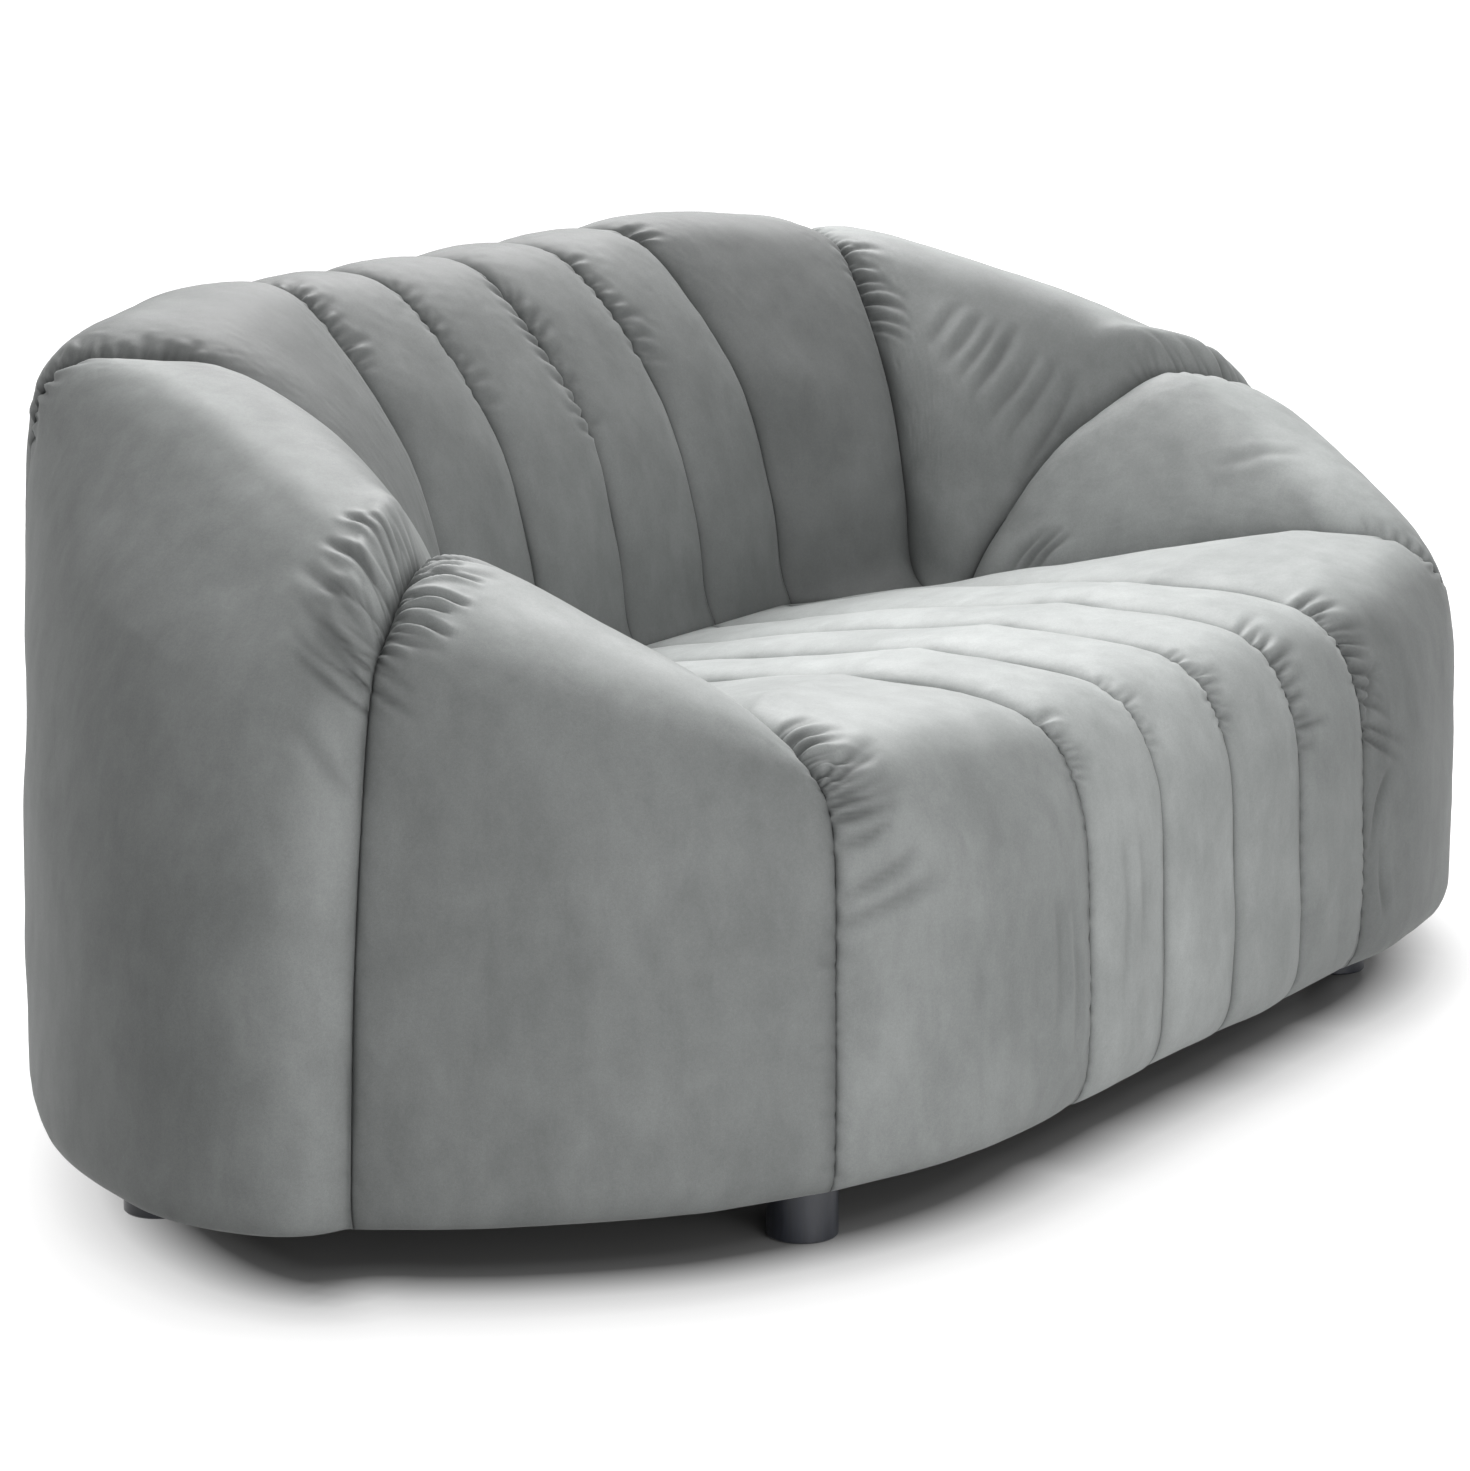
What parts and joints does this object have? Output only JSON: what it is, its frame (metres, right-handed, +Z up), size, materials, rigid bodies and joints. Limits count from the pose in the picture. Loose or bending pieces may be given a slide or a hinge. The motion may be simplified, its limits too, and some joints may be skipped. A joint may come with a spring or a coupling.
{
  "type": "two-seater sofa",
  "caption": "Low curved loveseat with a deep bucket seat. Vertical stuffed channels in grey velvet fan round its corners, on short round black feet.",
  "frame": {"origin": "midway between the feet on the floor, under the middle of the sofa's width and depth", "axes": "+X along the sofa's width to the sitter's left, +Y from the front to the rear, +Z up"},
  "size_m": [2.016, 1.099, 0.7837],
  "materials": {
    "velvet": "short-pile grey velvet, lighter where the pile faces the light",
    "timber": "sawn softwood and plywood, bare",
    "steel": "plain spring and bolt steel",
    "clip_plastic": "matt black",
    "glide_plastic": "matt black",
    "foam": "cream upholstery foam",
    "cover_cloth": "thin black non-woven cloth",
    "foot_lacquer": "satin blue-black lacquer"
  },
  "bodies": {
    "root": {"seat_end_pad_left": "velvet", "seat_channel_pad_1": "velvet", "seat_channel_pad_2": "velvet", "seat_channel_pad_3": "velvet", "seat_channel_pad_4": "velvet", "seat_end_pad_right": "velvet", "back_end_pad_left": "velvet", "back_channel_pad_1": "velvet", "back_channel_pad_2": "velvet", "back_channel_pad_3": "velvet", "back_channel_pad_4": "velvet", "back_end_pad_right": "velvet", "arm_front_pad_left": "velvet", "arm_rear_pad_left": "velvet", "arm_front_pad_right": "velvet", "arm_rear_pad_right": "velvet", "front_rail": "timber", "rear_rail": "timber", "front_corner_rail_left": "timber", "front_corner_rail_right": "timber", "arm_front_rail_left": "timber", "arm_front_rail_right": "timber", "arm_side_rail_left": "timber", "arm_side_rail_right": "timber", "arm_rear_rail_left": "timber", "arm_rear_rail_right": "timber", "rear_corner_rail_left": "timber", "rear_corner_rail_right": "timber", "back_rib_left": "timber", "back_rib_right": "timber", "corner_rib_left": "timber", "corner_rib_right": "timber", "arm_rib_left": "timber", "arm_rib_right": "timber", "back_top_rail": "timber", "corner_top_rail_left": "timber", "corner_top_rail_right": "timber", "arm_top_rail_left": "timber", "arm_top_rail_right": "timber", "arm_brace_left": "timber", "arm_brace_right": "timber", "spring_rail": "timber", "cross_rails": "timber", "seat_springs": "steel", "back_springs": "steel", "spring_clips": "clip_plastic", "seat_foam": "foam", "dust_cover": "cover_cloth", "foot_front_left": "foot_lacquer", "foot_front_right": "foot_lacquer", "foot_side_left": "foot_lacquer", "foot_side_right": "foot_lacquer", "foot_rear_left": "foot_lacquer", "foot_rear_right": "foot_lacquer", "foot_blocks": "timber", "foot_bolts": "steel", "foot_glides": "glide_plastic"}
  },
  "joints": []
}
